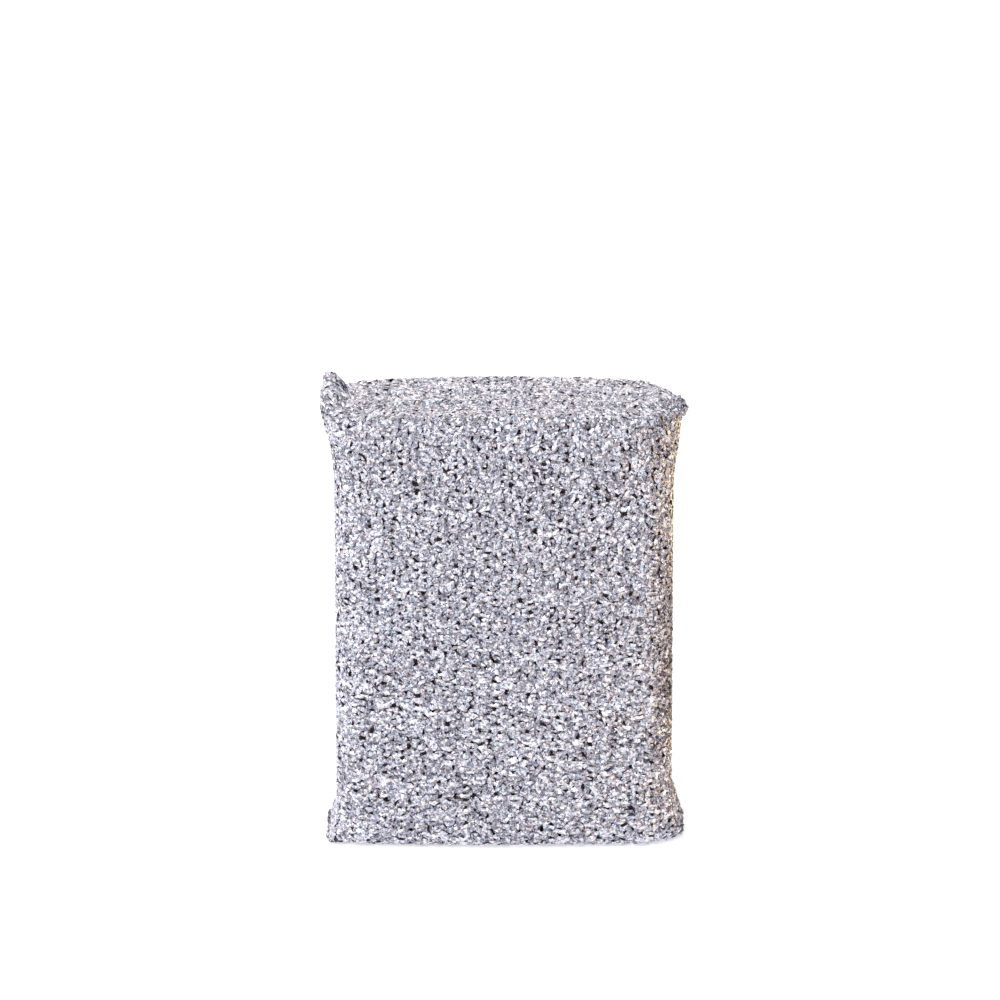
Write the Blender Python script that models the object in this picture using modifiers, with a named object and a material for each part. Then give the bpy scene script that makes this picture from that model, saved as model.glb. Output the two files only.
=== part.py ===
"""Scouring pad: a tube of knitted metallised tape, drawn over a foam block and sewn shut at both ends.

The pad stands on one of its sewn ends. X runs across it, Y from the front face to the back one, and Z up.
"""

import math
from collections import namedtuple

import bmesh
import bpy
from mathutils import Vector

# Overall size of the sleeve, without the ears, over the crests of its loops.
PAD_WIDTH = 0.086
PAD_DEPTH = 0.027
PAD_HEIGHT = 0.120
FACE_CROWN = 0.0015

# The top end is domed along the pad: it lies this much lower at the sides than in the middle.
TOP_SAG = 0.0012

# Rounding of the upright edges, and of the edges around both ends.
SIDE_RADIUS = 0.008
END_RADIUS = 0.0028

# The knit: its thickness, how deep the dips between loops are, and the size of a loop in this model.
KNIT_THICKNESS = 0.0017
LOOP_RELIEF = 0.0006
LOOP_PITCH = 0.0034
COURSE_PITCH = 0.0022
ARC_COURSES = 3

# The seam that closes an end lies in a shallow groove along the middle of that end.
GROOVE_WIDTH = 0.0048
GROOVE_FLOOR_WIDTH = 0.0032
GROOVE_DEPTH = 0.0011
SLIT_WIDTH = 0.0003

# The sewing thread, a zigzag across the slit.
THREAD_DIAMETER = 0.00045
STITCH_WIDTH = 0.0022
STITCH_PITCH = 0.0026
THREAD_BEVEL_RESOLUTION = 2

# The courses of an end start this far in from it, and the flare of its sides takes up this share of them.
END_RISE = 0.022
FLARE_SHARE = 0.66

# Each end gathers into an ear at either side: how far in from the side that starts, how wide the ear is from
# its tip to the end of the seam, and how steeply its middle rises from the end, as a power.
EAR_ROOT = 0.009
EAR_WIDTH = 0.0055
EAR_STEEPNESS = 6

# Gap between the foam, the sleeve and the thread, and how finely the foam's edges are rounded.
FIT_GAP = 0.0003
BLOCK_EDGE_SEGMENTS = 4

# How far each ear stands out past the side; how far in from the end the side's flare to it starts, with 1
# for a straight flare and 2 for one that bends out; how far in the ear's tip is; how much its middle stands
# up past the end, or lies in from it below 0; how far it leans to the back; and the radius to which the
# upright edges beside it turn.
Ear = namedtuple("Ear", "out rise bend tip lift lean corner")
EARS = {
    ("left", "top"): Ear(out=0.0036, rise=0.022, bend=2, tip=0.0018, lift=0.0058, lean=0.002, corner=0.0085),
    ("right", "top"): Ear(out=0.0024, rise=0.020, bend=1, tip=0.0018, lift=-0.004, lean=0.0, corner=0.013),
    ("left", "bottom"): Ear(out=0.0022, rise=0.010, bend=2, tip=0.0006, lift=0.0, lean=-0.003, corner=0.003),
    ("right", "bottom"): Ear(out=0.0030, rise=0.012, bend=1, tip=0.001, lift=0.0, lean=0.0, corner=0.0065),
}

HALF_WIDTH = PAD_WIDTH / 2
HALF_DEPTH = PAD_DEPTH / 2
MERGE_DISTANCE = 0.000001

# One course of the sleeve. drop is its distance in from the end, and fold goes from 0 on the body to 1 at
# the seam. A flat course carries no loop relief.
Course = namedtuple("Course", "half_depth drop fold end flat")


def ease(value):
    """Go smoothly from 0 to 1 as value does, and stay there outside that range."""
    share = min(max(value, 0.0), 1.0)
    return share * share * (3.0 - 2.0 * share)


def blend(start, stop, share):
    return start + (stop - start) * share


def clear_scene():
    for item in list(bpy.data.objects):
        bpy.data.objects.remove(item, do_unlink=True)


def make_collection(name):
    collection = bpy.data.collections.new(name)
    bpy.context.scene.collection.children.link(collection)
    return collection


def make_material(name, color, metallic, roughness):
    material = bpy.data.materials.new(name)
    material.use_nodes = True
    shader = material.node_tree.nodes["Principled BSDF"]
    shader.inputs["Base Color"].default_value = (*color, 1.0)
    shader.inputs["Metallic"].default_value = metallic
    shader.inputs["Roughness"].default_value = roughness
    return material


def make_object(name, mesh, collection, material=None):
    item = bpy.data.objects.new(name, mesh)
    collection.objects.link(item)
    if material:
        mesh.materials.append(material)
    return item


def end_profile():
    """Half depth and drop of each course of one end, from the body to the seam, on the front's middle."""
    rise_steps = max(1, round((END_RISE - END_RADIUS) / COURSE_PITCH))
    rise = [(HALF_DEPTH, blend(END_RISE, END_RADIUS, i / rise_steps)) for i in range(rise_steps)]
    arc = []
    for i in range(ARC_COURSES):
        angle = math.pi / 2 * i / ARC_COURSES
        half_depth = HALF_DEPTH - END_RADIUS * (1.0 - math.cos(angle))
        arc.append((half_depth, END_RADIUS * (1.0 - math.sin(angle))))
    rim = HALF_DEPTH - END_RADIUS
    rim_steps = max(1, round((rim - GROOVE_WIDTH / 2) / COURSE_PITCH))
    face = [(blend(rim, GROOVE_WIDTH / 2, i / rim_steps), 0.0) for i in range(rim_steps + 1)]
    groove = [(GROOVE_FLOOR_WIDTH / 2, GROOVE_DEPTH), (0.0, GROOVE_DEPTH)]
    return rise + arc + face + groove, len(rise) + len(arc)


def end_courses(end):
    profile, arc_end = end_profile()
    courses = []
    for i, (half_depth, drop) in enumerate(profile):
        fold = i / (len(profile) - 1)
        pressed = end == "bottom" and i >= arc_end
        in_groove = half_depth < GROOVE_WIDTH / 2 + MERGE_DISTANCE
        courses.append(Course(half_depth, drop, fold, end, pressed or in_groove))
    return courses


def body_courses():
    """The courses between the two ends, bottom to top, with the ends' own first courses left out."""
    length = PAD_HEIGHT - 2 * END_RISE
    steps = round(length / COURSE_PITCH)
    drops = [END_RISE + length * i / steps for i in range(1, steps)]
    return [Course(HALF_DEPTH, drop, 0.0, "bottom", False) for drop in drops]


def quarter_point(share, half_depth, radius):
    """A point on the quarter of a rounded rectangle from the front's middle to the right side's."""
    flat_x = HALF_WIDTH - radius
    flat_y = half_depth - radius
    arc = math.pi / 2 * radius
    along = share * (flat_x + arc + flat_y)
    if along < flat_x:
        return along, half_depth
    if along < flat_x + arc:
        angle = (along - flat_x) / radius
        return flat_x + radius * math.sin(angle), flat_y + radius * math.cos(angle)
    return HALF_WIDTH, flat_x + arc + flat_y - along


def top_sag(x):
    """How much lower the top end lies at x than in the middle."""
    return TOP_SAG * (x / HALF_WIDTH) ** 2


def sideness(x):
    """0 over the middle of an end, and 1 at either side."""
    return ease((abs(x) - HALF_WIDTH + EAR_ROOT) / EAR_ROOT)


def flare_share(fold, ear):
    """How far the side has flared out to the ear: 0 on the body, and 1 from the ear's tip to the seam."""
    drop = blend(END_RISE, ear.tip, min(fold / FLARE_SHARE, 1.0))
    return max((ear.rise - drop) / (ear.rise - ear.tip), 0.0) ** ear.bend


def ear_profile(fold, ear):
    """How far the middle of the side stands out, lies in from the end and is lifted, from body to seam.

    The side flares out to the ear's tip, and turns over it and in to the end of the seam.
    """
    if fold < FLARE_SHARE:
        return ear.out * flare_share(fold, ear), blend(END_RISE, ear.tip, fold / FLARE_SHARE), 0.0
    turn = math.pi * (fold - FLARE_SHARE) / (1.0 - FLARE_SHARE)
    out = ear.out - EAR_WIDTH * (1.0 - math.cos(turn)) / 2
    drop = ear.tip * (1.0 - math.sin(min(turn, math.pi / 2)))
    return out, drop, ear.lift * math.sin(turn)


def course_point(turn, course):
    """Where a share of one turn lies on the course, counted from the front's middle to the right."""
    quarter = int(turn * 4) % 4
    share = turn * 4 % 1
    if quarter in (1, 3):
        share = 1.0 - share
    ear = EARS["left" if quarter in (2, 3) else "right", course.end]
    radius = min(blend(SIDE_RADIUS, ear.corner, flare_share(course.fold, ear)), HALF_DEPTH)
    x, y = quarter_point(share, course.half_depth, radius * course.half_depth / HALF_DEPTH)
    x = -x if quarter in (2, 3) else x
    y = -y if quarter in (0, 3) else y
    bulge = FACE_CROWN * (1.0 - (x / HALF_WIDTH) ** 2) * course.half_depth / HALF_DEPTH
    y += math.copysign(bulge, y)

    drop = course.drop
    if course.fold > 0.0:
        side = sideness(x)
        out, side_drop, lift = ear_profile(course.fold, ear)
        drop = blend(course.drop, side_drop, side ** 2)
        drop -= lift * side ** EAR_STEEPNESS * (1.0 - (y / HALF_DEPTH) ** 2)
        x += math.copysign(1.0, x) * out * side
        y += ear.lean * side ** 3 * course.fold
    if course.end == "bottom":
        return Vector((x, y, drop))
    return Vector((x, y, PAD_HEIGHT - drop - top_sag(x) * ease(course.fold / FLARE_SHARE)))


def add_loop_relief(mesh, courses):
    """Sink every second point of the grid, staggered from course to course, into dips between loops.

    The dips get shallow towards an ear, where the loops are drawn together. Each square is split from dip
    to dip, so that every other point becomes the crest of a loop, and a flat one across its short way.
    """
    mesh.normal_update()
    column = mesh.verts.layers.int["column"]
    row = mesh.verts.layers.int["row"]
    for vert in mesh.verts:
        course = courses[vert[row]]
        if (vert[column] + vert[row]) % 2 and not course.flat:
            gathered = course.fold * sideness(vert.co.x)
            vert.co -= vert.normal * LOOP_RELIEF * (1.0 - gathered)
    for face in list(mesh.faces):
        corners = list(face.verts)
        diagonals = [corners[0::2], corners[1::2]]
        if all(courses[vert[row]].flat for vert in corners):
            split = min(diagonals, key=lambda pair: (pair[0].co - pair[1].co).length)
        else:
            split = diagonals[(corners[0][column] + corners[0][row] + 1) % 2]
        bmesh.utils.face_split(face, *split)


def loop_columns():
    """How many columns of points go once round the sleeve: a multiple of four, as its quarters match."""
    girth = 2 * (PAD_WIDTH + PAD_DEPTH) - (8 - 2 * math.pi) * SIDE_RADIUS
    return 4 * round(girth / LOOP_PITCH / 4)


def build_sleeve(collection, material):
    """Warp a grid into the closed pillow: its columns become wales and its rows courses."""
    bottom = list(reversed(end_courses("bottom")))
    courses = bottom + body_courses() + end_courses("top")
    columns = loop_columns()
    rows = len(courses) - 1
    mesh = bmesh.new()
    bmesh.ops.create_grid(mesh, x_segments=columns, y_segments=rows, size=0.5)
    column = mesh.verts.layers.int.new("column")
    row = mesh.verts.layers.int.new("row")
    for vert in mesh.verts:
        vert[column] = round((vert.co.x + 0.5) * columns) % columns
        vert[row] = round((vert.co.y + 0.5) * rows)
        vert.co = course_point(vert[column] / columns, courses[vert[row]])
    bmesh.ops.remove_doubles(mesh, verts=mesh.verts, dist=MERGE_DISTANCE)
    bmesh.ops.recalc_face_normals(mesh, faces=mesh.faces)
    add_loop_relief(mesh, courses)
    data = bpy.data.meshes.new("knit_sleeve")
    mesh.to_mesh(data)
    mesh.free()
    return make_object("knit_sleeve", data, collection, material)


def add_block(name, grow, collection, material=None):
    """The foam block, or, grown by a gap, the hollow that it fills."""
    inset = KNIT_THICKNESS + FIT_GAP - grow
    size = (PAD_WIDTH - 2 * inset, PAD_DEPTH - 2 * inset, PAD_HEIGHT - TOP_SAG - 2 * inset)
    mesh = bmesh.new()
    bmesh.ops.create_cube(mesh, size=1.0)
    bmesh.ops.scale(mesh, vec=size, verts=mesh.verts)
    data = bpy.data.meshes.new(name)
    mesh.to_mesh(data)
    mesh.free()
    block = make_object(name, data, collection, material)
    block.location = (0.0, 0.0, (PAD_HEIGHT - TOP_SAG) / 2)
    bevel = block.modifiers.new("rounded edges", "BEVEL")
    bevel.width = max(SIDE_RADIUS, END_RADIUS) - inset
    bevel.segments = BLOCK_EDGE_SEGMENTS
    bevel.limit_method = "NONE"
    return block


def add_slit(name, height, collection):
    """A thin upright blade from the floor of a seam's groove into the hollow."""
    mesh = bmesh.new()
    bmesh.ops.create_cube(mesh, size=1.0)
    size = (2 * seam_reach(), SLIT_WIDTH, 2 * (KNIT_THICKNESS + FIT_GAP + TOP_SAG))
    bmesh.ops.scale(mesh, vec=size, verts=mesh.verts)
    data = bpy.data.meshes.new(name)
    mesh.to_mesh(data)
    mesh.free()
    slit = make_object(name, data, collection)
    slit.location = (0.0, 0.0, height)
    return slit


def seam_reach():
    """How far the stitched stretch of a seam runs from the middle, up to the ears' roots."""
    return HALF_WIDTH - EAR_ROOT


def cut(target, cutter):
    cutter.hide_render = True
    cutter.display_type = "WIRE"
    modifier = target.modifiers.new(cutter.name, "BOOLEAN")
    modifier.operation = "DIFFERENCE"
    modifier.solver = "EXACT"
    modifier.object = cutter


def thread_height(end, x):
    depth = GROOVE_DEPTH - FIT_GAP - THREAD_DIAMETER / 2
    return depth if end == "bottom" else PAD_HEIGHT - depth - top_sag(x)


def build_thread(end, collection, material):
    """A zigzag of stitches, lying just off the groove's floor and clear of its walls."""
    name = f"{end}_seam_thread"
    curve = bpy.data.curves.new(name, "CURVE")
    curve.dimensions = "3D"
    curve.bevel_depth = THREAD_DIAMETER / 2
    curve.bevel_resolution = THREAD_BEVEL_RESOLUTION
    curve.use_fill_caps = True
    run = 2 * (seam_reach() - THREAD_DIAMETER)
    stitches = round(2 * run / STITCH_PITCH)
    swing = (STITCH_WIDTH - THREAD_DIAMETER) / 2
    spline = curve.splines.new("POLY")
    spline.points.add(stitches)
    for i, point in enumerate(spline.points):
        side = 1 if i % 2 else -1
        x = run * (i / stitches - 0.5)
        point.co = (x, side * swing, thread_height(end, x), 1.0)
    thread = bpy.data.objects.new(name, curve)
    collection.objects.link(thread)
    curve.materials.append(material)
    return thread


def main():
    clear_scene()
    pad = make_collection("scouring_pad")
    cutters = make_collection("cutters")
    silver = make_material("metallised_knit", (0.72, 0.71, 0.76), 0.9, 0.3)
    foam = make_material("foam", (0.15, 0.135, 0.13), 0.0, 0.95)
    thread_grey = make_material("sewing_thread", (0.55, 0.54, 0.60), 0.0, 0.6)

    sleeve = build_sleeve(pad, silver)
    add_block("foam_core", 0.0, pad, foam)
    cut(sleeve, add_block("hollow", FIT_GAP, cutters))
    for end, height in (("bottom", 0.0), ("top", PAD_HEIGHT)):
        cut(sleeve, add_slit(f"{end}_slit", height, cutters))
        build_thread(end, pad, thread_grey)


main()
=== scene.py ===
import math
from collections import namedtuple

import bmesh
import bpy
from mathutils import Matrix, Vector, noise


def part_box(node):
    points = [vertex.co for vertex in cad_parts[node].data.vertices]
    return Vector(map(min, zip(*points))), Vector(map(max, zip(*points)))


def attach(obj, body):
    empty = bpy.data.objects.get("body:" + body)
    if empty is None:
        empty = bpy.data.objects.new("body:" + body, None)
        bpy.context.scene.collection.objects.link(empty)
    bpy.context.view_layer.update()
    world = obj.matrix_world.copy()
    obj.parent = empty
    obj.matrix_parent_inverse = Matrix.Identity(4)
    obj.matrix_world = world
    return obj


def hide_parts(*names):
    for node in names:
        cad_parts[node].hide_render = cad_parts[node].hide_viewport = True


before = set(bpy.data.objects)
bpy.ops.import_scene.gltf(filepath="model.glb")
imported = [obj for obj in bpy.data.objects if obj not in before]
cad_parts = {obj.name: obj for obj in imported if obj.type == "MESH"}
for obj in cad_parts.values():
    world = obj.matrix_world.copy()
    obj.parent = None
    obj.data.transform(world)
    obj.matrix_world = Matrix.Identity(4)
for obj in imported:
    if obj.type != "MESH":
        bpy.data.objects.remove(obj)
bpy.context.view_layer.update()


# Foam core. A block of open-cell polyurethane foam, sawn from a slab, which gives the pad its shape and its
# spring. It sits loose in the sleeve, and shows only as dark cells between the loops of the knit.
FOAM_CORNER = 0.006
FOAM_PITCH = 0.0014
FOAM_PIT = 0.0022
FOAM_PIT_DEPTH = 0.0004
FOAM_CELL = 0.0011
# The foam's colour, from painted shade in the hollows of its cells to its pale cell walls.
FOAM_TONES = [(0.25, (0.220, 0.110, 0.110, 1.0)), (0.75, (0.460, 0.290, 0.290, 1.0))]
FOAM_BUMP = 0.0003
FOAM_ROUGHNESS = 0.92


def add_object(name, data):
    """Put a mesh, light or camera in the scene."""
    item = bpy.data.objects.new(name, data)
    bpy.context.scene.collection.objects.link(item)
    return item


def add_node(tree, kind, **settings):
    """A new node with its own settings, such as its mode."""
    node = tree.nodes.new(kind)
    for name, value in settings.items():
        setattr(node, name, value)
    return node


def feed(tree, socket, value):
    """Link a socket to another node's result, or set it to a plain value."""
    if isinstance(value, bpy.types.NodeSocket):
        tree.links.new(value, socket)
    else:
        socket.default_value = value


def new_material(name):
    """A material with its node tree and its Principled shader."""
    material = bpy.data.materials.new(name)
    material.use_nodes = True
    return material, material.node_tree, material.node_tree.nodes["Principled BSDF"]


def color_ramp(tree, value, stops):
    """Turn a number into a colour by these stops, given from low to high."""
    node = add_node(tree, "ShaderNodeValToRGB")
    elements = node.color_ramp.elements
    for element, (place, color) in zip(elements, (stops[0], stops[-1])):
        element.position = place
        element.color = color
    for place, color in stops[1:-1]:
        elements.new(place).color = color
    feed(tree, node.inputs["Fac"], value)
    return node.outputs["Color"]


def object_place(tree):
    """Where a point of a surface is on the object."""
    return add_node(tree, "ShaderNodeTexCoord").outputs["Object"]


def rounded_block(low, high, corner, pitch):
    """A closed block, evenly faceted at a pitch, with its edges and corners rounded."""
    size = high - low
    centre = (high + low) / 2
    reach = [length / 2 - corner for length in size]
    mesh = bmesh.new()
    bmesh.ops.create_cube(mesh, size=1.0)
    for axis in range(3):
        along = [edge for edge in mesh.edges if edge.verts[0].co[axis] * edge.verts[1].co[axis] < 0.0]
        cuts = round(size[axis] / pitch) - 1
        bmesh.ops.subdivide_edges(mesh, edges=along, cuts=cuts, use_grid_fill=True)
    for vert in mesh.verts:
        place = Vector([vert.co[axis] * size[axis] for axis in range(3)])
        inner = Vector([max(min(place[axis], reach[axis]), -reach[axis]) for axis in range(3)])
        vert.co = centre + inner + (place - inner).normalized() * corner
    return mesh


def roughen(tree, shader, height, distance):
    """Raise the surface, in its shading, by a height from 0 to 1 times a distance."""
    bump = add_node(tree, "ShaderNodeBump")
    feed(tree, bump.inputs["Distance"], distance)
    feed(tree, bump.inputs["Height"], height)
    feed(tree, shader.inputs["Normal"], bump.outputs["Normal"])


def foam_material():
    """Cells with pale walls, and painted shade that darkens their hollows."""
    material, tree, shader = new_material("open_cell_foam")
    cells = add_node(tree, "ShaderNodeTexVoronoi")
    feed(tree, cells.inputs["Vector"], object_place(tree))
    feed(tree, cells.inputs["Scale"], 1.0 / FOAM_CELL)
    wall = cells.outputs["Distance"]
    # The ramp paints shade into each cell's hollow, darker nearer its middle.
    feed(tree, shader.inputs["Base Color"], color_ramp(tree, wall, FOAM_TONES))
    shader.inputs["Roughness"].default_value = FOAM_ROUGHNESS
    roughen(tree, shader, wall, FOAM_BUMP)
    return material


foam_low, foam_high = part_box("foam_core")
foam_mesh = rounded_block(foam_low, foam_high, FOAM_CORNER, FOAM_PITCH)
foam_mesh.normal_update()
for vert in foam_mesh.verts:
    from_middle = noise.voronoi(vert.co / FOAM_PIT)[0][0]
    vert.co -= vert.normal * FOAM_PIT_DEPTH * (1.0 - min(from_middle, 1.0))
foam_data = bpy.data.meshes.new("foam_block")
foam_mesh.to_mesh(foam_data)
foam_mesh.free()
foam_data.materials.append(foam_material())
foam = add_object("foam_block", foam_data)
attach(foam, "root")
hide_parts("foam_core")


# Knitted sleeve. A tube of weft knit, worked round from one flat metallised film tape with its purl side
# out. It is drawn over the foam and sewn flat at both ends, where its corners gather into four ears.

# The sleeve's form: its gap to the foam and its thickness, how far its broad faces crown, how round its
# upright edges and its ends are, how far its top sags to both sides, and the groove along each seam.
FIT_GAP = 0.0003
KNIT_THICKNESS = 0.0017
FACE_CROWN = 0.0015
SIDE_RADIUS = 0.008
END_RADIUS = 0.0028
TOP_SAG = 0.0012
GROOVE_WIDTH = 0.0048
GROOVE_FLOOR_WIDTH = 0.0032
GROOVE_DEPTH = 0.0004

# The skin of an end starts this far in from it. Its ears start this far in from the side, are this wide,
# and are lifted, drawn in and leant back by these powers of the way out to their tips.
END_RISE = 0.022
EAR_ROOT = 0.009
EAR_WIDTH = 0.0055
EAR_LIFT_POWER = 6
EAR_DROP_POWER = 2
EAR_LEAN_POWER = 3

# How far each ear stands out past the side; how far in from the end the side's flare to it starts, and
# whether the flare is straight, at 1, or bends out, at 2; how far in its tip is; how far it is lifted and
# leans to the back; and the radius of the upright edges beside it.
Ear = namedtuple("Ear", "out rise bend tip lift lean corner")
EARS = {
    ("left", "top"): Ear(out=0.0036, rise=0.022, bend=2, tip=0.0018, lift=0.0058, lean=0.002, corner=0.0085),
    ("right", "top"): Ear(out=0.0024, rise=0.020, bend=1, tip=0.0018, lift=-0.004, lean=0.0, corner=0.013),
    ("left", "bottom"): Ear(out=0.0022, rise=0.010, bend=2, tip=0.0006, lift=0.0, lean=-0.003, corner=0.003),
    ("right", "bottom"): Ear(out=0.0030, rise=0.012, bend=1, tip=0.001, lift=0.0, lean=0.0, corner=0.0065),
}

# Where the skin of an end passes from its rise to the rounded edge, the end face, the groove's wall and the
# groove's floor, as steps of its fold from the body, at 0, to the seam.
EDGE_STEP = 18
FACE_STEP = 24
GROOVE_STEP = 32
FLOOR_STEP = 34
SEAM_STEP = 36

# The mesh of the skin, and how far it lies inside the sleeve's outer face.
SKIN_COLUMNS = 128
SKIN_BODY_ROWS = 24
SKIN_MERGE = 0.000001
SKIN_INSET = 0.0006
SEAM_INSET = 0.0001

# The knit: how many loops go round, how many courses there are from seam to seam, and how a loop lies.
WALES = 53
COURSES = 76
BAND_COURSES = 19
POINTS_PER_LOOP = 14
LOOP_HEIGHT = 0.86
LOOP_BULGE = 0.17
LOOP_DEPTH = 0.00045
TAPE_WIDTH = 0.00155
TAPE_RIDGE = 0.00026
CURL = 0.75
CURL_OF_TOPS = 0.3
NARROWEST = 0.7
WIDEST = 1.2
WANDER = 1.4
WANDER_SIZE = 0.004
COURSE_DRIFT = 0.7
UNEVENNESS = 1.4
SEAM_MARGIN = 0.0005
FLOOR_CLEARANCE = 0.00005

# Each band of courses has its own run of seeds, and each of its random numbers a seed in that run.
SEEDS_PER_BAND = 10
LIFT_SEED = 0
CURL_SEED = 2
TONE_SEED = 3
WIDTH_SEED = 4

# How much the loops stand out: between which shares of the climb from seam to seam they go from tight to
# slack, how far they stand out at each, how much their heads and feet differ, and how uneven they are. Then
# how far from the middle of the climb the seams draw them flat, and how much of them is left there.
TIGHT_AT = 0.75
SLACK_AT = 0.35
TIGHT = -0.15
SLACK = 0.3
HEAD_SHARE = 0.5
UNEVEN_LIFT = 0.5
FLAT_FROM = 0.40
FLAT_AT = 0.44
FLATTENED = 0.7

foam_size = foam_high - foam_low
half_width = foam_size.x / 2 + KNIT_THICKNESS + FIT_GAP
half_depth = foam_size.y / 2 + KNIT_THICKNESS + FIT_GAP
pad_height = foam_high.z + KNIT_THICKNESS + FIT_GAP + TOP_SAG


def ease(value):
    """Go smoothly from 0 to 1 as value does, and stay there outside that range."""
    share = min(max(value, 0.0), 1.0)
    return share * share * (3.0 - 2.0 * share)


def blend(start, stop, share):
    """The value that lies this share of the way from start to stop."""
    return start + (stop - start) * share


def span(value, start, stop):
    """How far value is from start to stop, as a share."""
    return (value - start) / (stop - start)


def end_station(step):
    """Half depth and drop of an end's skin at the front's middle."""
    rim = half_depth - END_RADIUS
    if step < EDGE_STEP:
        return half_depth, blend(END_RISE, END_RADIUS, step / EDGE_STEP)
    if step < FACE_STEP:
        angle = math.pi / 2 * span(step, EDGE_STEP, FACE_STEP)
        return rim + END_RADIUS * math.cos(angle), END_RADIUS * (1.0 - math.sin(angle))
    if step < GROOVE_STEP:
        return blend(rim, GROOVE_WIDTH / 2, span(step, FACE_STEP, GROOVE_STEP)), 0.0
    if step < FLOOR_STEP:
        share = span(step, GROOVE_STEP, FLOOR_STEP)
        return blend(GROOVE_WIDTH, GROOVE_FLOOR_WIDTH, share) / 2, GROOVE_DEPTH * share
    return GROOVE_FLOOR_WIDTH / 2 * (1.0 - span(step, FLOOR_STEP, SEAM_STEP)), GROOVE_DEPTH


def quarter_point(share, depth, radius):
    """A point on the quarter of a rounded rectangle from the front's middle to the right side's."""
    flat_x = half_width - radius
    flat_y = depth - radius
    arc = math.pi / 2 * radius
    along = share * (flat_x + arc + flat_y)
    if along < flat_x:
        return along, depth
    if along < flat_x + arc:
        angle = (along - flat_x) / radius
        return flat_x + radius * math.sin(angle), flat_y + radius * math.cos(angle)
    return half_width, flat_x + arc + flat_y - along


def flare_share(step, ear):
    """How far the side has flared out to the ear: 0 on the body, and 1 from the ear's tip to the seam."""
    drop = blend(END_RISE, ear.tip, min(step / FACE_STEP, 1.0))
    return max((ear.rise - drop) / (ear.rise - ear.tip), 0.0) ** ear.bend


def ear_profile(step, ear):
    """How far the side stands out, lies in from the end and is lifted, from body to tip to seam."""
    if step < FACE_STEP:
        return ear.out * flare_share(step, ear), blend(END_RISE, ear.tip, step / FACE_STEP), 0.0
    turn = math.pi * span(step, FACE_STEP, SEAM_STEP)
    out = ear.out - EAR_WIDTH * (1.0 - math.cos(turn)) / 2
    return out, ear.tip * (1.0 - math.sin(min(turn, math.pi / 2))), ear.lift * math.sin(turn)


def skin_point(turn, end, step, drop):
    """A point of the sleeve's skin: a share of one turn from the front's middle, in one row."""
    depth = half_depth
    if step:
        depth, drop = end_station(step)
    quarter = int(turn * 4) % 4
    share = turn * 4 % 1
    if quarter in (1, 3):
        share = 1.0 - share
    ear = EARS["left" if quarter in (2, 3) else "right", end]
    radius = min(blend(SIDE_RADIUS, ear.corner, flare_share(step, ear)), half_depth)
    x, y = quarter_point(share, depth, radius * depth / half_depth)
    x = -x if quarter in (2, 3) else x
    y = -y if quarter in (0, 3) else y
    y += math.copysign(FACE_CROWN * (1.0 - (x / half_width) ** 2) * depth / half_depth, y)
    sag = TOP_SAG * (x / half_width) ** 2 * ease(step / FACE_STEP)
    if step:
        side = ease((abs(x) - half_width + EAR_ROOT) / EAR_ROOT)
        out, side_drop, lift = ear_profile(step, ear)
        drop = blend(drop, side_drop, side ** EAR_DROP_POWER)
        drop -= lift * side ** EAR_LIFT_POWER * (1.0 - (y / half_depth) ** 2)
        x += math.copysign(1.0, x) * out * side
        y += ear.lean * side ** EAR_LEAN_POWER * step / SEAM_STEP
    return Vector((x, y, drop if end == "bottom" else pad_height - drop - sag))


def skin_rows():
    """End, step and drop of each row of the skin, from the bottom seam up to the top one."""
    body = pad_height - 2 * END_RISE
    rows = [("bottom", step, 0.0) for step in range(SEAM_STEP, 0, -1)]
    rows += [("bottom", 0, END_RISE + body * i / SKIN_BODY_ROWS) for i in range(SKIN_BODY_ROWS + 1)]
    return rows + [("top", step, 0.0) for step in range(1, SEAM_STEP + 1)]


def build_skin():
    """A smooth guide for the knit, with a map of it that runs round and from seam to seam."""
    rows = skin_rows()
    middle = [skin_point(0.0, *row) for row in rows]
    reach = [0.0]
    for start, stop in zip(middle, middle[1:]):
        reach.append(reach[-1] + (stop - start).length)
    mesh = bmesh.new()
    bmesh.ops.create_grid(mesh, x_segments=SKIN_COLUMNS, y_segments=len(rows) - 1, size=0.5)
    skin_map = mesh.loops.layers.uv.new("skin")
    for face in mesh.faces:
        for corner in face.loops:
            row = round((corner.vert.co.y + 0.5) * (len(rows) - 1))
            corner[skin_map].uv = (corner.vert.co.x + 0.5, reach[row] / reach[-1])
    for vert in mesh.verts:
        row = round((vert.co.y + 0.5) * (len(rows) - 1))
        turn = round((vert.co.x + 0.5) * SKIN_COLUMNS) % SKIN_COLUMNS / SKIN_COLUMNS
        vert.co = skin_point(turn, *rows[row])
    bmesh.ops.remove_doubles(mesh, verts=mesh.verts, dist=SKIN_MERGE)
    bmesh.ops.recalc_face_normals(mesh, faces=mesh.faces)
    mesh.normal_update()

    # The tape's middle lies inside the sleeve's outer face, but hardly so along the top seam.
    for vert in mesh.verts:
        by_seam = abs(vert.co.y) < GROOVE_WIDTH and vert.co.z > pad_height - END_RISE
        on_end = abs(vert.normal.z) > 0.5
        vert.co -= vert.normal * (SEAM_INSET if by_seam and on_end else SKIN_INSET)
    data = bpy.data.meshes.new("sleeve_skin")
    mesh.to_mesh(data)
    mesh.free()
    return add_object("sleeve_skin", data)


SOCKETS = {int: "NodeSocketInt", float: "NodeSocketFloat", bpy.types.Material: "NodeSocketMaterial"}


def new_tree(name, values):
    """An empty Geometry Nodes tree that takes a guide and named values, and its group input's results."""
    tree = bpy.data.node_groups.new(name, "GeometryNodeTree")
    tree.interface.new_socket("Guide", in_out="INPUT", socket_type="NodeSocketGeometry")
    for label, value in values.items():
        tree.interface.new_socket(label, in_out="INPUT", socket_type=SOCKETS[type(value)])
    tree.interface.new_socket("Piece", in_out="OUTPUT", socket_type="NodeSocketGeometry")
    return tree, add_node(tree, "NodeGroupInput").outputs


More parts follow.
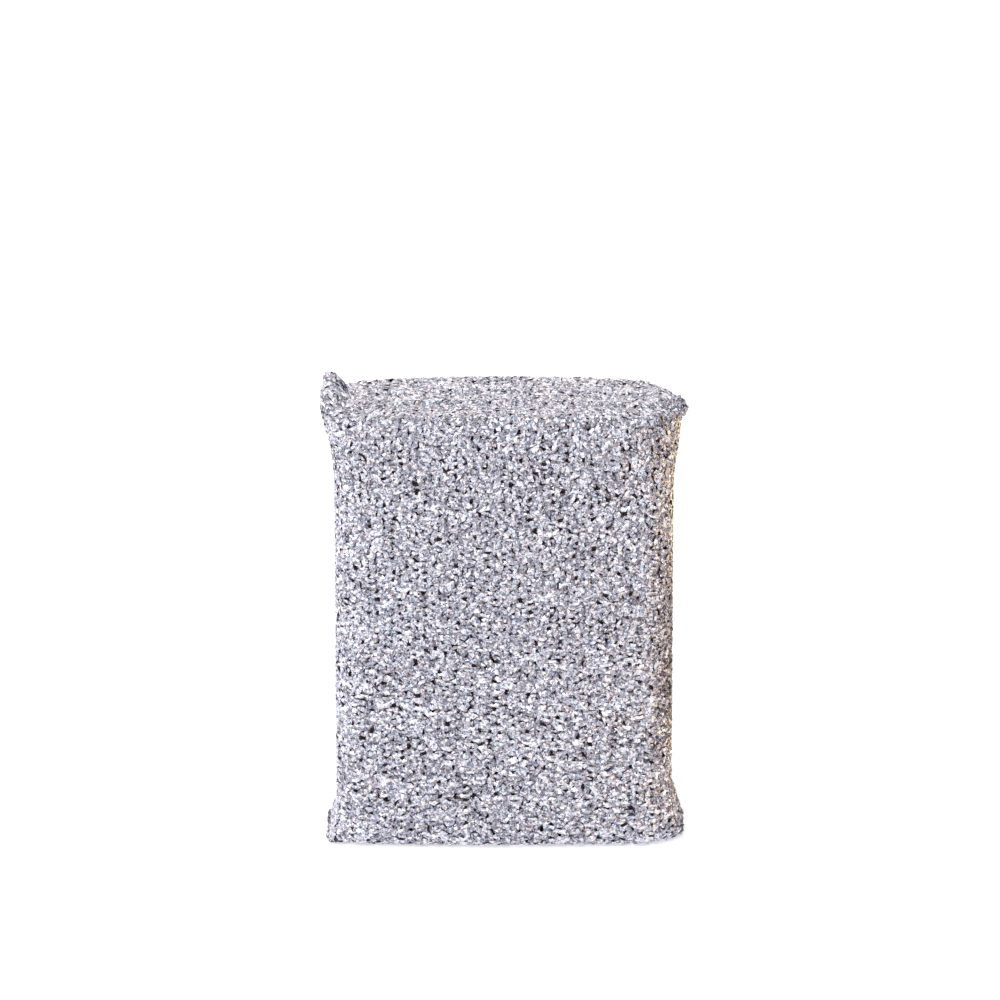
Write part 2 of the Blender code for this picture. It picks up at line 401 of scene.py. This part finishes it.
def join(tree, kind, *values, **settings):
    """A node whose first inputs take these values in turn; gives its first result in use."""
    node = add_node(tree, kind, **settings)
    for socket, value in zip([item for item in node.inputs if item.enabled], values):
        feed(tree, socket, value)
    return next(item for item in node.outputs if item.enabled)


def end_tree(tree, geometry, material):
    """Make instances real, give the piece its material, and hand it out."""
    real = join(tree, "GeometryNodeRealizeInstances", geometry)
    node = add_node(tree, "GeometryNodeSetMaterial")
    feed(tree, node.inputs["Geometry"], real)
    feed(tree, node.inputs["Material"], material)
    feed(tree, add_node(tree, "NodeGroupOutput").inputs[0], node.outputs[0])


def grow(name, guide, tree, values):
    """Run a tree on its guide with these values, and keep the result as a plain mesh of its own."""
    modifier = guide.modifiers.new(tree.name, "NODES")
    modifier.node_group = tree
    for socket in tree.interface.items_tree:
        if socket.name in values:
            modifier[socket.identifier] = values[socket.name]
    depsgraph = bpy.context.evaluated_depsgraph_get()
    mesh = bpy.data.meshes.new_from_object(
        guide.evaluated_get(depsgraph), preserve_all_data_layers=True, depsgraph=depsgraph
    )
    guide.modifiers.remove(modifier)
    mesh.name = name
    return add_object(name, mesh)


def calc(tree, operation, *values):
    """One step of arithmetic on numbers."""
    return join(tree, "ShaderNodeMath", *values, operation=operation)


def vector(tree, operation, *values):
    """One step of arithmetic on vectors."""
    return join(tree, "ShaderNodeVectorMath", *values, operation=operation)


def scaled(tree, arrow, factor):
    """A vector made this many times as long."""
    node = add_node(tree, "ShaderNodeVectorMath", operation="SCALE")
    feed(tree, node.inputs[0], arrow)
    feed(tree, node.inputs["Scale"], factor)
    return node.outputs[0]


def remap(tree, value, start, stop, low=0.0, high=1.0):
    """Go from low to high as a value goes from start to stop, and stay there outside that span."""
    node = add_node(tree, "ShaderNodeMapRange")
    marks = {"Value": value, "From Min": start, "From Max": stop, "To Min": low, "To Max": high}
    for name, mark in marks.items():
        feed(tree, node.inputs[name], mark)
    return node.outputs[0]


def chance(tree, given, low, high, seed):
    """A random number for each point or face, the same one at each run."""
    node = add_node(tree, "FunctionNodeRandomValue", data_type="FLOAT")
    numbers = [item for item in node.inputs if item.enabled]
    feed(tree, numbers[0], low)
    feed(tree, numbers[1], high)
    feed(tree, node.inputs["Seed"], calc(tree, "ADD", given["First Seed"], seed))
    return next(item for item in node.outputs if item.enabled)


def on_skin(tree, guide, value, around, along):
    """What a value of the guide is at a place of its map."""
    skin_map = add_node(tree, "GeometryNodeInputNamedAttribute", data_type="FLOAT_VECTOR")
    feed(tree, skin_map.inputs["Name"], "skin")
    mapped = next(item for item in skin_map.outputs if item.enabled)
    node = add_node(tree, "GeometryNodeSampleUVSurface", data_type="FLOAT_VECTOR")
    feed(tree, node.inputs["Mesh"], guide)
    feed(tree, node.inputs["Value"], value)
    feed(tree, node.inputs["UV Map"], mapped)
    feed(tree, node.inputs["Sample UV"], join(tree, "ShaderNodeCombineXYZ", around, along))
    return node.outputs["Value"]


def on_map(tree, given, wale, course):
    """The place on the skin's map of a wale and course, kept just off the seams."""
    turn = calc(tree, "FRACT", calc(tree, "DIVIDE", wale, given["Wales"]))
    climb = calc(tree, "DIVIDE", course, given["Courses"])
    return turn, calc(tree, "MAXIMUM", calc(tree, "MINIMUM", climb, 1.0 - SEAM_MARGIN), SEAM_MARGIN)


def course_rings(tree, given):
    """A closed ring of points for each course, not yet laid anywhere."""
    points = calc(tree, "MULTIPLY", given["Wales"], given["Points per Loop"])
    ring = join(tree, "GeometryNodeMeshToCurve", join(tree, "GeometryNodeMeshLine", points))
    closed = add_node(tree, "GeometryNodeSetSplineCyclic")
    feed(tree, closed.inputs["Geometry"], ring)
    feed(tree, closed.inputs["Cyclic"], True)
    copies = add_node(tree, "GeometryNodeDuplicateElements", domain="SPLINE")
    feed(tree, copies.inputs["Geometry"], closed.outputs[0])
    feed(tree, copies.inputs["Amount"], given["Course Count"])
    return copies


def tape_along(tree, given, line):
    """A tape that is creased along its middle, into a low ridge, and is folded narrower in places."""
    # Its section is a triangle in a circle of radius 1, so it is 1.5 high and the root of 3 wide at first.
    squashed = add_node(tree, "GeometryNodeTransform")
    feed(tree, squashed.inputs["Geometry"], join(tree, "GeometryNodeCurvePrimitiveCircle", 3, 1.0))
    tall = calc(tree, "DIVIDE", given["Tape Ridge"], 1.5)
    wide = calc(tree, "DIVIDE", given["Tape Width"], math.sqrt(3.0))
    feed(tree, squashed.inputs["Scale"], join(tree, "ShaderNodeCombineXYZ", tall, wide, 1.0))
    tape = add_node(tree, "GeometryNodeCurveToMesh")
    feed(tree, tape.inputs["Curve"], line)
    feed(tree, tape.inputs["Profile Curve"], squashed.outputs[0])
    feed(tree, tape.inputs["Scale"], chance(tree, given, NARROWEST, WIDEST, WIDTH_SEED))
    return tape.outputs[0]


def pressed_flat(tree, given, tape):
    """The tape where nothing reaches below what the pad stands on, so that its lowest loops are flat."""
    place = add_node(tree, "ShaderNodeSeparateXYZ")
    feed(tree, place.inputs[0], add_node(tree, "GeometryNodeInputPosition").outputs[0])
    height = calc(tree, "MAXIMUM", place.outputs["Z"], given["Floor Clearance"])
    pressed = add_node(tree, "GeometryNodeSetPosition")
    feed(tree, pressed.inputs["Geometry"], tape)
    kept = join(tree, "ShaderNodeCombineXYZ", place.outputs["X"], place.outputs["Y"], height)
    feed(tree, pressed.inputs["Position"], kept)
    return pressed.outputs[0]


def faceted(tree, given, tape):
    """The tape with flat facets, each with a random tone for its painted reflection."""
    toned = add_node(tree, "GeometryNodeStoreNamedAttribute", data_type="FLOAT", domain="FACE")
    feed(tree, toned.inputs["Geometry"], tape)
    feed(tree, toned.inputs["Name"], "tone")
    feed(tree, toned.inputs["Value"], chance(tree, given, 0.0, 1.0, TONE_SEED))
    flat = add_node(tree, "GeometryNodeSetShadeSmooth")
    feed(tree, flat.inputs["Geometry"], toned.outputs[0])
    feed(tree, flat.inputs["Shade Smooth"], False)
    return flat.outputs[0]


def knit_tree(values):
    """Courses of a weft knit, laid on the skin as one flat tape each, which curls as it goes."""
    tree, given = new_tree("weft_knit", values)
    copies = course_rings(tree, given)

    # Each point's wale and course, and the angle that it has reached in its own loop.
    index = add_node(tree, "GeometryNodeSplineParameter").outputs["Index"]
    wale = calc(tree, "DIVIDE", index, given["Points per Loop"])
    course = calc(tree, "ADD", copies.outputs["Duplicate Index"], given["First Course"])
    angle = calc(tree, "MULTIPLY", wale, 2.0 * math.pi)
    double_angle = calc(tree, "MULTIPLY", angle, 2.0)

    # Each course wanders and draws its loops up by its own uneven amounts.
    position = add_node(tree, "GeometryNodeInputPosition").outputs[0]
    drift = add_node(tree, "ShaderNodeTexNoise", noise_dimensions="4D")
    plain = on_skin(tree, given["Guide"], position, *on_map(tree, given, wale, course))
    feed(tree, drift.inputs["Vector"], plain)
    feed(tree, drift.inputs["W"], calc(tree, "MULTIPLY", course, COURSE_DRIFT))
    feed(tree, drift.inputs["Scale"], calc(tree, "DIVIDE", 1.0, given["Wander Size"]))
    drift_by = add_node(tree, "ShaderNodeSeparateXYZ")
    feed(tree, drift_by.inputs[0], vector(tree, "SUBTRACT", drift.outputs["Color"], (0.5, 0.5, 0.5)))
    drawn = calc(tree, "MULTIPLY_ADD", drift_by.outputs["Z"], given["Unevenness"], 1.0)

    # The loop's own shape, in wales round and in courses along.
    sway = calc(tree, "MULTIPLY", calc(tree, "SINE", double_angle), given["Loop Bulge"])
    rise = calc(tree, "MULTIPLY", calc(tree, "COSINE", angle), given["Loop Height"])
    around = calc(tree, "ADD", wale, sway)
    around = calc(tree, "MULTIPLY_ADD", drift_by.outputs["X"], given["Wander"], around)
    along = calc(tree, "MULTIPLY_ADD", rise, drawn, calc(tree, "ADD", course, 0.5))
    along = calc(tree, "MULTIPLY_ADD", drift_by.outputs["Y"], given["Wander"], along)
    spot = on_map(tree, given, around, along)
    place = on_skin(tree, given["Guide"], position, *spot)
    outward = on_skin(tree, given["Guide"], add_node(tree, "GeometryNodeInputNormal").outputs[0], *spot)

    # Low on the pad the heads and feet of the loops stand out. Higher up, the knit is drawn tight over the
    # foam, and their legs do.
    climb = calc(tree, "DIVIDE", along, given["Courses"])
    slack = remap(tree, climb, TIGHT_AT, SLACK_AT, TIGHT, SLACK)
    heads = calc(tree, "MULTIPLY", calc(tree, "COSINE", angle), HEAD_SHARE)
    lift = calc(tree, "SUBTRACT", calc(tree, "COSINE", double_angle), heads)
    lift = calc(tree, "MULTIPLY", lift, slack)
    lift = calc(tree, "ADD", lift, chance(tree, given, -UNEVEN_LIFT, UNEVEN_LIFT, LIFT_SEED))

    # At the ends the seams draw the knit flatter.
    off_middle = calc(tree, "ABSOLUTE", calc(tree, "SUBTRACT", climb, 0.5))
    flat = remap(tree, off_middle, FLAT_FROM, FLAT_AT, 1.0, FLATTENED)
    lift = calc(tree, "MULTIPLY", lift, flat)
    stand_out = calc(tree, "MULTIPLY_ADD", lift, 0.5, 0.5)
    raised = scaled(tree, outward, calc(tree, "MULTIPLY", lift, given["Loop Depth"]))
    moved = add_node(tree, "GeometryNodeSetPosition")
    feed(tree, moved.inputs["Geometry"], copies.outputs["Geometry"])
    feed(tree, moved.inputs["Position"], vector(tree, "ADD", place, raised))
    # The film reads how far each point stands out, to paint raised loops lighter and low ones darker.
    marked = add_node(tree, "GeometryNodeStoreNamedAttribute", data_type="FLOAT", domain="POINT")
    feed(tree, marked.inputs["Geometry"], moved.outputs[0])
    feed(tree, marked.inputs["Name"], "stand_out")
    feed(tree, marked.inputs["Value"], stand_out)

    # The tape faces outwards, and turns on its own line by a random curl at each point.
    tangent = add_node(tree, "GeometryNodeInputTangent").outputs[0]
    across = vector(tree, "CROSS_PRODUCT", tangent, outward)
    upright = vector(tree, "NORMALIZE", vector(tree, "CROSS_PRODUCT", across, tangent))
    curl = calc(tree, "MULTIPLY", chance(tree, given, -1.0, 1.0, CURL_SEED), given["Curl"])
    curl = calc(tree, "MULTIPLY", curl, calc(tree, "SUBTRACT", 1.0 + CURL_OF_TOPS, stand_out))
    curl = calc(tree, "MULTIPLY", curl, flat)
    turned = add_node(tree, "ShaderNodeVectorRotate", rotation_type="AXIS_ANGLE")
    feed(tree, turned.inputs["Vector"], upright)
    feed(tree, turned.inputs["Axis"], tangent)
    feed(tree, turned.inputs["Angle"], curl)
    facing = add_node(tree, "GeometryNodeSetCurveNormal", mode="FREE")
    feed(tree, facing.inputs["Curve"], marked.outputs[0])
    feed(tree, facing.inputs["Normal"], turned.outputs[0])

    tape = pressed_flat(tree, given, tape_along(tree, given, facing.outputs[0]))
    end_tree(tree, faceted(tree, given, tape), given["Material"])
    return tree


# The tape's film, painted from dark reflections to white glints. A facet's tone is part a random painted
# reflection, part painted light and shade by how far it stands out, and part painted shade and glint of its
# fine creases, which show most on what lies low.
FILM_PAINTED_TONES = [
    (0.10, (0.040, 0.028, 0.034, 1.0)),
    (0.19, (0.105, 0.097, 0.122, 1.0)),
    (0.32, (0.188, 0.179, 0.217, 1.0)),
    (0.49, (0.382, 0.371, 0.430, 1.0)),
    (0.64, (0.705, 0.692, 0.755, 1.0)),
    (0.80, (0.960, 0.945, 0.975, 1.0)),
]
FILM_TINTS = [(0.35, (0.92, 0.985, 1.03, 1.0)), (0.65, (1.04, 0.99, 0.96, 1.0))]
STAND_OUT_SHARE = 0.45
CREASE_SHARE = 0.35
CREASE_LESS_FROM = 1.5
CREASE_LOW = 0.35
CREASE_HIGH = 0.65
FILM_METALLIC = 0.9
FILM_SMOOTHEST = 0.15
FILM_ROUGHEST = 0.45
FILM_CREASE = 0.0005
FILM_BUMP = 0.00008
FILM_PATCH = 0.0018


def object_noise(tree, size):
    """Soft noise that is fixed to the object, in blotches of about this size."""
    blotches = add_node(tree, "ShaderNodeTexNoise")
    feed(tree, blotches.inputs["Vector"], object_place(tree))
    feed(tree, blotches.inputs["Scale"], 1.0 / size)
    return blotches.outputs["Fac"]


def film_material():
    """Metallised film in facets painted in many tones of reflection and glint, with fine creases."""
    material, tree, shader = new_material("metallised_film_tape")
    # Each facet's random tone is a painted reflection, from dark to white glint.
    tone = add_node(tree, "ShaderNodeAttribute", attribute_name="tone").outputs["Fac"]
    stand_out = add_node(tree, "ShaderNodeAttribute", attribute_name="stand_out").outputs["Fac"]
    # The fine creases paint shade and glints into the colour, most on what lies low.
    crease = object_noise(tree, FILM_CREASE)
    creased = remap(tree, crease, CREASE_LOW, CREASE_HIGH)
    # Loops that stand out are painted lighter, and low ones darker.
    mixed = join(tree, "ShaderNodeMix", STAND_OUT_SHARE, tone, stand_out)
    how_low = calc(tree, "SUBTRACT", CREASE_LESS_FROM, stand_out)
    crease_share = calc(tree, "MULTIPLY", how_low, CREASE_SHARE)
    mixed = join(tree, "ShaderNodeMix", crease_share, mixed, creased)

    # The film reads a little bluer or warmer from patch to patch.
    tint = color_ramp(tree, object_noise(tree, FILM_PATCH), FILM_TINTS)
    tinted = add_node(tree, "ShaderNodeMix", data_type="RGBA", blend_type="MULTIPLY")
    feed(tree, tinted.inputs["Factor"], 1.0)
    channels = [item for item in tinted.inputs if item.enabled]
    feed(tree, channels[1], color_ramp(tree, mixed, FILM_PAINTED_TONES))
    feed(tree, channels[2], tint)
    feed(tree, shader.inputs["Base Color"], next(item for item in tinted.outputs if item.enabled))
    shader.inputs["Metallic"].default_value = FILM_METALLIC
    rough = remap(tree, crease, 0.0, 1.0, FILM_SMOOTHEST, FILM_ROUGHEST)
    feed(tree, shader.inputs["Roughness"], rough)
    roughen(tree, shader, crease, FILM_BUMP)
    return material


skin = build_skin()
film = film_material()
knit_values = {
    "Wales": WALES,
    "Courses": COURSES,
    "First Course": 0,
    "Course Count": BAND_COURSES,
    "Points per Loop": POINTS_PER_LOOP,
    "Loop Height": LOOP_HEIGHT,
    "Loop Bulge": LOOP_BULGE,
    "Loop Depth": LOOP_DEPTH,
    "Tape Width": TAPE_WIDTH,
    "Tape Ridge": TAPE_RIDGE,
    "Curl": CURL,
    "Wander": WANDER,
    "Wander Size": WANDER_SIZE,
    "Unevenness": UNEVENNESS,
    "Floor Clearance": FLOOR_CLEARANCE,
    "First Seed": 0,
    "Material": film,
}
knit = knit_tree(knit_values)
for band in range(COURSES // BAND_COURSES):
    own = {"First Course": band * BAND_COURSES, "First Seed": band * SEEDS_PER_BAND}
    piece = grow(f"knit_band_{band + 1}", skin, knit, {**knit_values, **own})
    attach(piece, "root")
    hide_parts("knit_sleeve")
bpy.data.objects.remove(skin)


# Seam threads. Each end is sewn shut with a two-ply silver-grey thread, in a zigzag over the edges of the
# knit, from the root of one ear to the other's. The stitches draw in a shallow groove, and the loops beside
# them close over most of their length.
THREAD_DIAMETER = 0.00045
STITCH_PITCH = 0.0026
PLY_TWIST = 0.0012
POINTS_PER_STITCH = 14
PLY_SIDES = 6
STITCH_DIP = 0.00012
DIP_SHARPNESS = 6.0
# The thread's fibres are painted from shade to glint.
THREAD_PAINTED_TONES = [(0.42, (0.16, 0.15, 0.18, 1.0)), (0.58, (0.98, 0.96, 1.00, 1.0))]
THREAD_FIBRE = 0.0005
THREAD_BUMP = 0.00003
THREAD_ROUGHNESS = 0.7


def thread_tree(values):
    """A zigzag of stitches, twisted from two plies."""
    tree, given = new_tree("zigzag_stitch", values)
    count = calc(tree, "ADD", calc(tree, "MULTIPLY", given["Stitches"], given["Points per Stitch"]), 1)
    line = join(tree, "GeometryNodeMeshToCurve", join(tree, "GeometryNodeMeshLine", count))
    plies = add_node(tree, "GeometryNodeDuplicateElements", domain="SPLINE")
    feed(tree, plies.inputs["Geometry"], line)
    feed(tree, plies.inputs["Amount"], 2)

    progress = add_node(tree, "GeometryNodeSplineParameter").outputs["Index"]
    stitch = calc(tree, "DIVIDE", progress, given["Points per Stitch"])
    share = calc(tree, "SUBTRACT", calc(tree, "DIVIDE", stitch, given["Stitches"]), 0.5)
    swing = calc(tree, "COSINE", calc(tree, "MULTIPLY", stitch, math.pi))
    turning = calc(tree, "POWER", calc(tree, "ABSOLUTE", swing), DIP_SHARPNESS)
    dip = calc(tree, "MULTIPLY", turning, given["Dip"])
    x = calc(tree, "MULTIPLY", share, given["Reach"])
    y = calc(tree, "MULTIPLY", swing, given["Swing"])
    off_middle = calc(tree, "DIVIDE", x, given["Half Width"])
    sag = calc(tree, "MULTIPLY", calc(tree, "POWER", off_middle, 2.0), given["Sag"])
    z = calc(tree, "SUBTRACT", calc(tree, "ADD", given["Height"], dip), sag)
    laid = add_node(tree, "GeometryNodeSetPosition")
    feed(tree, laid.inputs["Geometry"], plies.outputs["Geometry"])
    feed(tree, laid.inputs["Position"], join(tree, "ShaderNodeCombineXYZ", x, y, z))

    # The two plies go round each other, half a turn apart.
    length = add_node(tree, "GeometryNodeSplineParameter").outputs["Length"]
    twist = calc(tree, "MULTIPLY", calc(tree, "DIVIDE", length, given["Twist"]), 2.0 * math.pi)
    twist = calc(tree, "MULTIPLY_ADD", plies.outputs["Duplicate Index"], math.pi, twist)
    tangent = add_node(tree, "GeometryNodeInputTangent").outputs[0]
    side = vector(tree, "NORMALIZE", vector(tree, "CROSS_PRODUCT", tangent, (0.0, 0.0, 1.0)))
    up = vector(tree, "CROSS_PRODUCT", side, tangent)
    sideways = scaled(tree, side, calc(tree, "MULTIPLY", calc(tree, "COSINE", twist), given["Ply Radius"]))
    upwards = scaled(tree, up, calc(tree, "MULTIPLY", calc(tree, "SINE", twist), given["Ply Radius"]))
    twisted = add_node(tree, "GeometryNodeSetPosition")
    feed(tree, twisted.inputs["Geometry"], laid.outputs[0])
    feed(tree, twisted.inputs["Offset"], vector(tree, "ADD", sideways, upwards))
    section = join(tree, "GeometryNodeCurvePrimitiveCircle", given["Ply Sides"], given["Ply Radius"])
    tube = add_node(tree, "GeometryNodeCurveToMesh")
    feed(tree, tube.inputs["Curve"], twisted.outputs[0])
    feed(tree, tube.inputs["Profile Curve"], section)
    feed(tree, tube.inputs["Fill Caps"], True)
    end_tree(tree, tube.outputs[0], given["Material"])
    return tree


def thread_material():
    """Thread mottled by its fibres, in painted shade and painted glints."""
    material, tree, shader = new_material("sewing_thread")
    fibre = object_noise(tree, THREAD_FIBRE)
    feed(tree, shader.inputs["Base Color"], color_ramp(tree, fibre, THREAD_PAINTED_TONES))
    shader.inputs["Roughness"].default_value = THREAD_ROUGHNESS
    roughen(tree, shader, fibre, THREAD_BUMP)
    return material


def stitch_values(node, into_groove, sag, material):
    """What the zigzag tree needs to follow one of the seam threads of the frame."""
    low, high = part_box(node)
    reach = high.x - low.x - THREAD_DIAMETER
    return {
        "Stitches": round(2 * reach / STITCH_PITCH),
        "Points per Stitch": POINTS_PER_STITCH,
        "Reach": reach,
        "Swing": (high.y - low.y - THREAD_DIAMETER) / 2,
        "Height": high.z - THREAD_DIAMETER / 2,
        "Dip": into_groove * STITCH_DIP,
        "Sag": sag,
        "Half Width": half_width,
        "Twist": PLY_TWIST,
        "Ply Radius": THREAD_DIAMETER / 4,
        "Ply Sides": PLY_SIDES,
        "Material": material,
    }


thread_finish = thread_material()
seams = {
    "bottom_seam_thread": stitch_values("bottom_seam_thread", 1.0, 0.0, thread_finish),
    "top_seam_thread": stitch_values("top_seam_thread", -1.0, TOP_SAG, thread_finish),
}
zigzag = thread_tree(seams["bottom_seam_thread"])
for node, seam_values in seams.items():
    start = add_object("thread_start", bpy.data.meshes.new("thread_start"))
    thread = grow(node.replace("seam_thread", "zigzag_stitches"), start, zigzag, seam_values)
    bpy.data.objects.remove(start)
    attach(thread, "root")
    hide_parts(node)


# Floor and background. A plain white sweep: the floor shades under the pad, and what is seen past it, or
# mirrored in the tape, is white.
FLOOR_HALF_SIZE = 4.0
FLOOR_COLOR = (0.90, 0.90, 0.91, 1.0)
FLOOR_ROUGHNESS = 0.9
FLOOR_GLOW = 0.50
WORLD_LIGHT = (0.68, 0.69, 0.72, 1.0)


def seen_plainly(tree):
    """1 where a ray comes from the eye, straight, off a mirror or through glass, and 0 elsewhere."""
    path = add_node(tree, "ShaderNodeLightPath").outputs
    mirrored = calc(tree, "MAXIMUM", path["Is Glossy Ray"], path["Is Transmission Ray"])
    return calc(tree, "MAXIMUM", path["Is Camera Ray"], mirrored)


floor_mesh = bmesh.new()
bmesh.ops.create_grid(floor_mesh, x_segments=1, y_segments=1, size=FLOOR_HALF_SIZE)
floor_data = bpy.data.meshes.new("floor")
floor_mesh.to_mesh(floor_data)
floor_mesh.free()
floor = add_object("floor", floor_data)
floor_finish, floor_tree, floor_shader = new_material("white_sweep")
floor_shader.inputs["Base Color"].default_value = FLOOR_COLOR
floor_shader.inputs["Roughness"].default_value = FLOOR_ROUGHNESS
floor_shader.inputs["Specular IOR Level"].default_value = 0.0
floor_shader.inputs["Emission Color"].default_value = FLOOR_COLOR
floor_glow = calc(floor_tree, "MULTIPLY", seen_plainly(floor_tree), FLOOR_GLOW)
feed(floor_tree, floor_shader.inputs["Emission Strength"], floor_glow)
floor_data.materials.append(floor_finish)

world = bpy.data.worlds.new("white_studio")
world.use_nodes = True
bpy.context.scene.world = world
sky = world.node_tree
sky_color = add_node(sky, "ShaderNodeMix", data_type="RGBA")
colors = [item for item in sky_color.inputs if item.enabled]
feed(sky, colors[0], seen_plainly(sky))
feed(sky, colors[1], WORLD_LIGHT)
feed(sky, colors[2], (1.0, 1.0, 1.0, 1.0))
feed(sky, sky.nodes["Background"].inputs["Color"], next(item for item in sky_color.outputs if item.enabled))


# Lights. A large softbox stands above and to the left. Cards round the pad show only in what the tape
# mirrors: white ones on the left and behind, and on the right two in blotches of brown, white and gold.
pad_middle = Vector((0.0, 0.0, pad_height / 2))
KEY_PLACE = (-0.7, -0.9, 1.5)
KEY_SIZE = 1.4
KEY_POWER = 13.0
CARD_BLOTCH = 0.025
WHITE_CARD = [(0.0, (0.95, 0.94, 0.96, 1.0)), (1.0, (0.95, 0.94, 0.96, 1.0))]
WARM_CARD = [(0.0, (1.0, 0.96, 0.93, 1.0)), (1.0, (1.0, 0.96, 0.93, 1.0))]
BROWN_CARD = [
    (0.0, (0.030, 0.012, 0.008, 1.0)),
    (0.51, (0.30, 0.17, 0.11, 1.0)),
    (0.54, (1.0, 0.95, 0.92, 1.0)),
    (0.60, (0.64, 0.42, 0.10, 1.0)),
]
GOLD_CARD = [
    (0.0, (0.030, 0.014, 0.006, 1.0)),
    (0.50, (0.64, 0.42, 0.08, 1.0)),
    (0.54, (1.0, 0.95, 0.90, 1.0)),
    (0.58, (0.68, 0.46, 0.10, 1.0)),
]

# Each card's two ends on the floor plan, its height, how far its top leans to the right, its colours and
# how strongly it glows.
Card = namedtuple("Card", "start stop height lean colors glow")
CARDS = {
    "white_card": Card(
        start=(-0.113, -0.12), stop=(-0.113, 0.12), height=0.11, lean=0.0, colors=WHITE_CARD, glow=1.7
    ),
    "back_card": Card(
        start=(-0.3, 0.35), stop=(0.3, 0.35), height=0.6, lean=0.0, colors=WARM_CARD, glow=1.65
    ),
    "brown_card": Card(
        start=(0.056, -0.07), stop=(0.056, 0.02), height=0.14, lean=0.06, colors=BROWN_CARD, glow=2.6
    ),
    "gold_card": Card(
        start=(0.056, 0.02), stop=(0.056, 0.12), height=0.14, lean=0.06, colors=GOLD_CARD, glow=2.6
    ),
}


def build_card(name, values):
    """A glowing card by the pad, in blotches of its colours, which only mirrored rays meet."""
    mesh = bmesh.new()
    bmesh.ops.create_grid(mesh, x_segments=1, y_segments=1, size=0.5)
    start, stop = (Vector((*end, 0.0)) for end in (values.start, values.stop))
    climb = Vector((values.lean, 0.0, values.height))
    for vert in mesh.verts:
        vert.co = blend(start, stop, vert.co.x + 0.5) + climb * (vert.co.y + 0.5)
    data = bpy.data.meshes.new(name)
    mesh.to_mesh(data)
    mesh.free()
    material, tree, shader = new_material(name)
    shader.inputs["Base Color"].default_value = (0.0, 0.0, 0.0, 1.0)
    shader.inputs["Specular IOR Level"].default_value = 0.0
    color = color_ramp(tree, object_noise(tree, CARD_BLOTCH), values.colors)
    color.node.color_ramp.interpolation = "CONSTANT"
    feed(tree, shader.inputs["Emission Color"], color)
    shader.inputs["Emission Strength"].default_value = values.glow
    data.materials.append(material)
    card = add_object(name, data)
    card.visible_camera = False
    card.visible_diffuse = False
    card.visible_shadow = False
    card.visible_transmission = False


for name, card_values in CARDS.items():
    build_card(name, card_values)

key_data = bpy.data.lights.new("key_softbox", "AREA")
key_data.size = KEY_SIZE
key_data.energy = KEY_POWER
key = add_object("key_softbox", key_data)
key.location = KEY_PLACE
key.rotation_euler = (pad_middle - Vector(KEY_PLACE)).to_track_quat("-Z", "Y").to_euler()


# Camera. It looks straight at the front face from a little above, from far enough away to keep the upright
# edges almost parallel.
CAMERA_ELEVATION = math.radians(24.0)
CAMERA_DISTANCE = 2.2
CAMERA_LENS = 314.0
CAMERA_AIM = Vector((-0.001, 0.0, 0.0910))

camera_data = bpy.data.cameras.new("camera")
camera_data.lens = CAMERA_LENS
camera = add_object("camera", camera_data)
back = Vector((0.0, -math.cos(CAMERA_ELEVATION), math.sin(CAMERA_ELEVATION)))
camera.location = CAMERA_AIM + back * CAMERA_DISTANCE
camera.rotation_euler = (-back).to_track_quat("-Z", "Y").to_euler()
bpy.context.scene.camera = camera
bpy.context.scene.view_settings.view_transform = "Standard"
